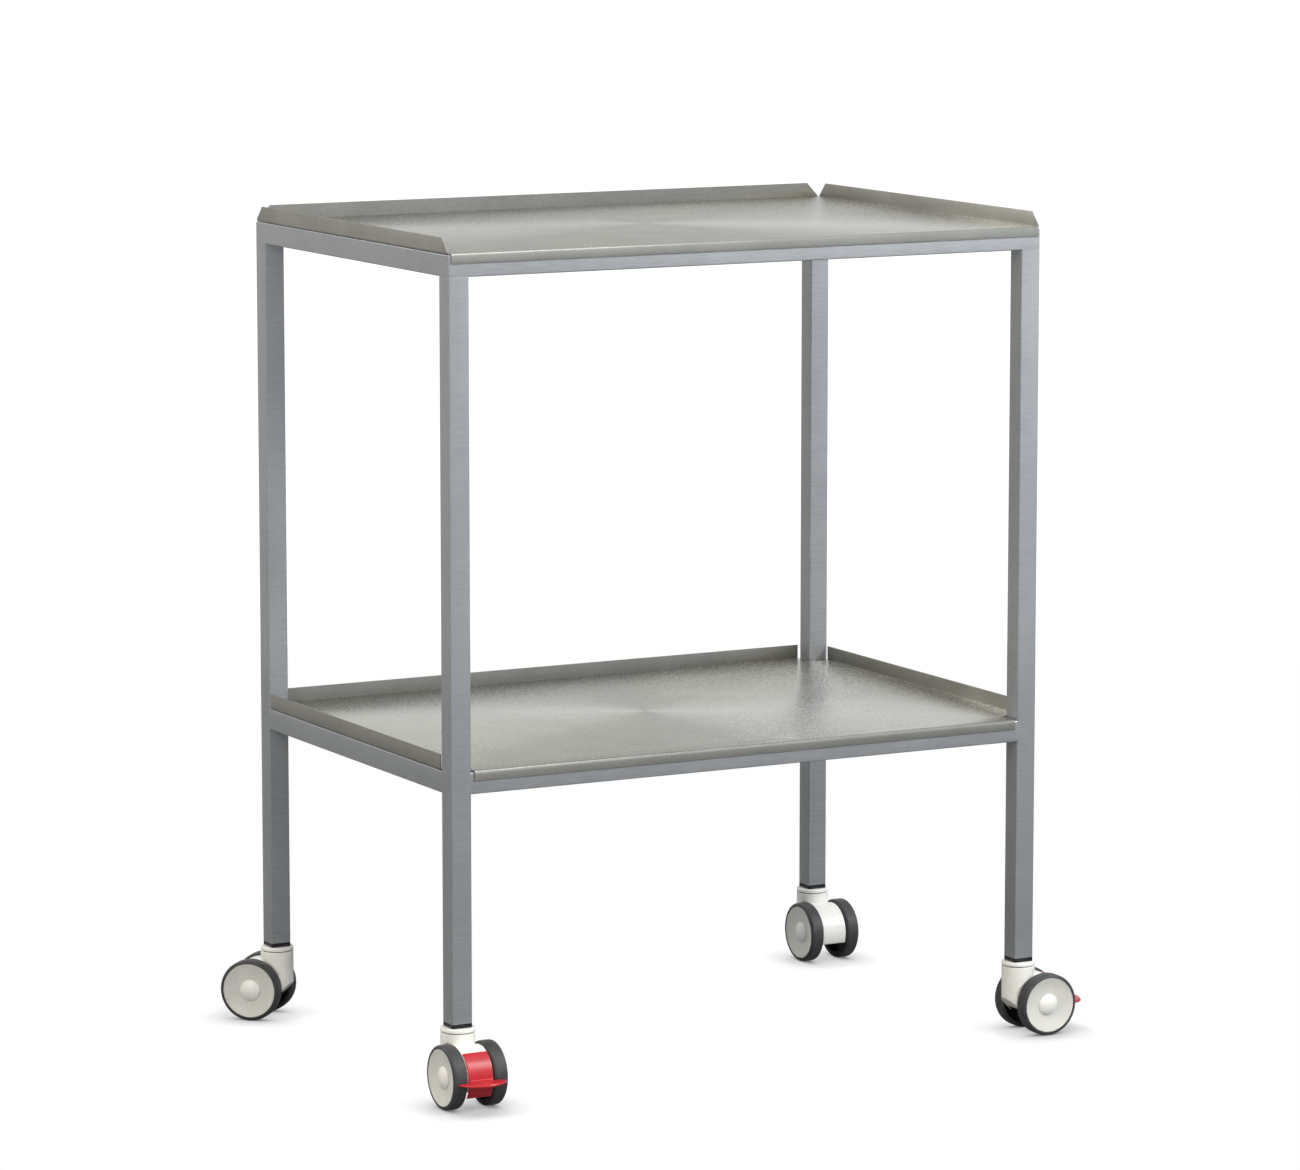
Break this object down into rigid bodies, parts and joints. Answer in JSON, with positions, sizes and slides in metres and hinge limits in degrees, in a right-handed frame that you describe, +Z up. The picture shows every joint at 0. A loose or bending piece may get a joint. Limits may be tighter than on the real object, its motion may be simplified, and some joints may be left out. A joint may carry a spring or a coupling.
{
  "type": "instrument cart",
  "caption": "Square-tube cart with an upper and a lower bent-sheet tray, open at the front, on swivelling twin-wheel casters, some with a foot brake.",
  "frame": {"origin": "on the floor, under the middle of the cart's box (the casters' rest poses shift it a little from the tube frame's middle)", "axes": "+X along the long front side to the right, +Y from the open front to the back, +Z up"},
  "size_m": [0.9034, 0.6494, 0.9945],
  "materials": {
    "frame_steel": "satin, fine-ground square tube",
    "stainless": "brushed stainless sheet",
    "bright_steel": "turned and polished",
    "black_plastic": "moulded, fine matt",
    "white_plastic": "moulded, semi-gloss",
    "disc_plastic": "moulded, satin",
    "tyre": "moulded, matt",
    "red_plastic": "moulded, semi-gloss"
  },
  "bodies": {
    "frame": {"leg_front_left": "frame_steel", "leg_back_left": "frame_steel", "leg_front_right": "frame_steel", "leg_back_right": "frame_steel", "top_rail_front": "frame_steel", "lower_rail_front": "frame_steel", "top_rail_back": "frame_steel", "lower_rail_back": "frame_steel", "top_rail_left": "frame_steel", "lower_rail_left": "frame_steel", "top_rail_right": "frame_steel", "lower_rail_right": "frame_steel", "top_tray": "stainless", "lower_tray": "stainless", "leg_plug_front_left": "black_plastic", "collar_front_left": "white_plastic", "stem_front_left": "bright_steel", "leg_plug_back_left": "black_plastic", "collar_back_left": "white_plastic", "stem_back_left": "bright_steel", "leg_plug_front_right": "black_plastic", "collar_front_right": "white_plastic", "stem_front_right": "bright_steel", "leg_plug_back_right": "black_plastic", "collar_back_right": "white_plastic", "stem_back_right": "bright_steel"},
    "swivel_front_left": {"swivel_housing_front_left": "white_plastic", "axle_front_left": "bright_steel"},
    "wheel_front_left_left": {"tyre_front_left_left": "tyre", "wheel_core_front_left_left": "disc_plastic", "hub_cap_front_left_left": "white_plastic"},
    "wheel_front_left_right": {"tyre_front_left_right": "tyre", "wheel_core_front_left_right": "disc_plastic", "hub_cap_front_left_right": "white_plastic"},
    "brake_front_left": {"brake_pedal_front_left": "red_plastic"},
    "swivel_back_left": {"swivel_housing_back_left": "white_plastic", "axle_back_left": "bright_steel"},
    "wheel_back_left_left": {"tyre_back_left_left": "tyre", "wheel_core_back_left_left": "disc_plastic", "hub_cap_back_left_left": "white_plastic"},
    "wheel_back_left_right": {"tyre_back_left_right": "tyre", "wheel_core_back_left_right": "disc_plastic", "hub_cap_back_left_right": "white_plastic"},
    "swivel_front_right": {"swivel_housing_front_right": "white_plastic", "axle_front_right": "bright_steel"},
    "wheel_front_right_left": {"tyre_front_right_left": "tyre", "wheel_core_front_right_left": "disc_plastic", "hub_cap_front_right_left": "white_plastic"},
    "wheel_front_right_right": {"tyre_front_right_right": "tyre", "wheel_core_front_right_right": "disc_plastic", "hub_cap_front_right_right": "white_plastic"},
    "brake_front_right": {"brake_pedal_front_right": "red_plastic"},
    "swivel_back_right": {"swivel_housing_back_right": "white_plastic", "axle_back_right": "bright_steel"},
    "wheel_back_right_left": {"tyre_back_right_left": "tyre", "wheel_core_back_right_left": "disc_plastic", "hub_cap_back_right_left": "white_plastic"},
    "wheel_back_right_right": {"tyre_back_right_right": "tyre", "wheel_core_back_right_right": "disc_plastic", "hub_cap_back_right_right": "white_plastic"}
  },
  "joints": [
    {"name": "swivel_front_left_turn", "type": "hinge", "parent": "frame", "child": "swivel_front_left", "pos_m": [-0.38524, -0.24236, 0.0835], "axis": [0, 0, 1], "continuous": true},
    {"name": "wheel_front_left_left_spin", "type": "hinge", "parent": "swivel_front_left", "child": "wheel_front_left_left", "pos_m": [-0.38524, -0.26686, 0.0375], "axis": [1, 0, 0], "continuous": true},
    {"name": "wheel_front_left_right_spin", "type": "hinge", "parent": "swivel_front_left", "child": "wheel_front_left_right", "pos_m": [-0.38524, -0.26686, 0.0375], "axis": [1, 0, 0], "continuous": true},
    {"name": "brake_front_left_press", "type": "hinge", "parent": "swivel_front_left", "child": "brake_front_left", "pos_m": [-0.38524, -0.26686, 0.0375], "axis": [1, 0, 0], "range_deg": [0, 12]},
    {"name": "swivel_back_left_turn", "type": "hinge", "parent": "frame", "child": "swivel_back_left", "pos_m": [-0.38524, 0.25824, 0.0835], "axis": [0, 0, 1], "continuous": true},
    {"name": "wheel_back_left_left_spin", "type": "hinge", "parent": "swivel_back_left", "child": "wheel_back_left_left", "pos_m": [-0.40256, 0.27556, 0.0375], "axis": [-0.7071, -0.7071, 0], "continuous": true},
    {"name": "wheel_back_left_right_spin", "type": "hinge", "parent": "swivel_back_left", "child": "wheel_back_left_right", "pos_m": [-0.40256, 0.27556, 0.0375], "axis": [-0.7071, -0.7071, 0], "continuous": true},
    {"name": "swivel_front_right_turn", "type": "hinge", "parent": "frame", "child": "swivel_front_right", "pos_m": [0.36936, -0.24236, 0.0835], "axis": [0, 0, 1], "continuous": true},
    {"name": "wheel_front_right_left_spin", "type": "hinge", "parent": "swivel_front_right", "child": "wheel_front_right_left", "pos_m": [0.39386, -0.24236, 0.0375], "axis": [0, 1, 0], "continuous": true},
    {"name": "wheel_front_right_right_spin", "type": "hinge", "parent": "swivel_front_right", "child": "wheel_front_right_right", "pos_m": [0.39386, -0.24236, 0.0375], "axis": [0, 1, 0], "continuous": true},
    {"name": "brake_front_right_press", "type": "hinge", "parent": "swivel_front_right", "child": "brake_front_right", "pos_m": [0.39386, -0.24236, 0.0375], "axis": [0, 1, 0], "range_deg": [0, 12]},
    {"name": "swivel_back_right_turn", "type": "hinge", "parent": "frame", "child": "swivel_back_right", "pos_m": [0.36936, 0.25824, 0.0835], "axis": [0, 0, 1], "continuous": true},
    {"name": "wheel_back_right_left_spin", "type": "hinge", "parent": "swivel_back_right", "child": "wheel_back_right_left", "pos_m": [0.36936, 0.23374, 0.0375], "axis": [1, 0, 0], "continuous": true},
    {"name": "wheel_back_right_right_spin", "type": "hinge", "parent": "swivel_back_right", "child": "wheel_back_right_right", "pos_m": [0.36936, 0.23374, 0.0375], "axis": [1, 0, 0], "continuous": true}
  ]
}
